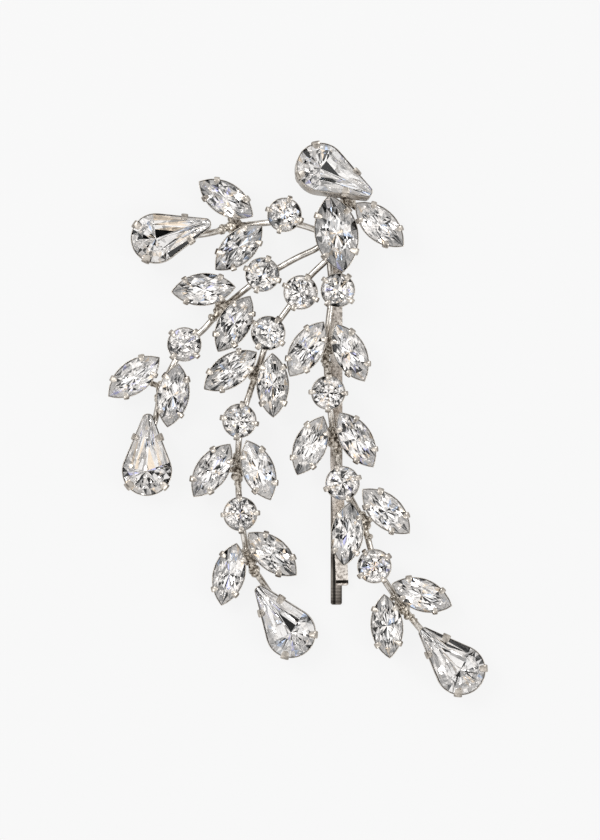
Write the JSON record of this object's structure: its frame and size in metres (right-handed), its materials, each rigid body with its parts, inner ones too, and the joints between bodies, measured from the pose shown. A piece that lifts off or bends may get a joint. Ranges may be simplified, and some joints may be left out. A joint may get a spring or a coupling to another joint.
{
  "type": "hair clip",
  "caption": "Spring hair pin that carries a branching spray of claw-set clear rhinestones: pear drops, pointed leaves and round stones on bent wires.",
  "frame": {"origin": "underside of the pin's straight back leg, at mid-width, half way along the pin", "axes": "+Y along the pin towards its closed bow, +Z from the back leg towards the stones' faces, +X to the right seen from the stones' side"},
  "size_m": [0.059, 0.0864, 0.01],
  "materials": {
    "clear_stone": "polished facets, foiled behind",
    "setting_metal": "rhodium-coloured plating, polished",
    "wire_metal": "rhodium-coloured plating, bright, with duller solder",
    "pin_steel": "satin, drawn along its length"
  },
  "bodies": {
    "back_leg": {"pin_back_leg": "pin_steel"},
    "spray": {"crown_drop_setting": "setting_metal", "crown_drop_stone": "clear_stone", "crown_leaf_settings": "setting_metal", "crown_leaf_stones": "clear_stone", "main_stem": "wire_metal", "middle_chaton_1_setting": "setting_metal", "middle_chaton_1_stone": "clear_stone", "middle_chaton_2_setting": "setting_metal", "middle_chaton_2_stone": "clear_stone", "middle_chaton_3_setting": "setting_metal", "middle_chaton_3_stone": "clear_stone", "middle_chaton_4_setting": "setting_metal", "middle_chaton_4_stone": "clear_stone", "middle_drop_setting": "setting_metal", "middle_drop_stone": "clear_stone", "middle_leaf_pair_1_settings": "setting_metal", "middle_leaf_pair_1_stones": "clear_stone", "middle_leaf_pair_2_settings": "setting_metal", "middle_leaf_pair_2_stones": "clear_stone", "middle_leaf_pair_3_settings": "setting_metal", "middle_leaf_pair_3_stones": "clear_stone", "middle_stem": "wire_metal", "outer_chaton_1_setting": "setting_metal", "outer_chaton_1_stone": "clear_stone", "outer_chaton_2_setting": "setting_metal", "outer_chaton_2_stone": "clear_stone", "outer_drop_setting": "setting_metal", "outer_drop_stone": "clear_stone", "outer_leaf_pair_1_settings": "setting_metal", "outer_leaf_pair_1_stones": "clear_stone", "outer_leaf_pair_2_settings": "setting_metal", "outer_leaf_pair_2_stones": "clear_stone", "outer_stem": "wire_metal", "pin_chaton_1_setting": "setting_metal", "pin_chaton_1_stone": "clear_stone", "pin_chaton_2_setting": "setting_metal", "pin_chaton_2_stone": "clear_stone", "pin_chaton_3_setting": "setting_metal", "pin_chaton_3_stone": "clear_stone", "pin_chaton_4_setting": "setting_metal", "pin_chaton_4_stone": "clear_stone", "pin_drop_setting": "setting_metal", "pin_drop_stone": "clear_stone", "pin_front_leg": "pin_steel", "pin_leaf_pair_1_settings": "setting_metal", "pin_leaf_pair_1_stones": "clear_stone", "pin_leaf_pair_2_settings": "setting_metal", "pin_leaf_pair_2_stones": "clear_stone", "pin_leaf_pair_3_settings": "setting_metal", "pin_leaf_pair_3_stones": "clear_stone", "pin_leaf_pair_4_settings": "setting_metal", "pin_leaf_pair_4_stones": "clear_stone", "side_chaton_1_setting": "setting_metal", "side_chaton_1_stone": "clear_stone", "side_drop_setting": "setting_metal", "side_drop_stone": "clear_stone", "side_leaf_pair_1_settings": "setting_metal", "side_leaf_pair_1_stones": "clear_stone", "side_stem": "wire_metal"}
  },
  "joints": [
    {"name": "leg_flex", "type": "hinge", "parent": "back_leg", "child": "spray", "pos_m": [0, 0.03, 0.001], "axis": [-1, 0, 0], "range_deg": [0, 12], "stiffness_Nm_per_rad": 0.15, "springref_deg": -5.73}
  ]
}
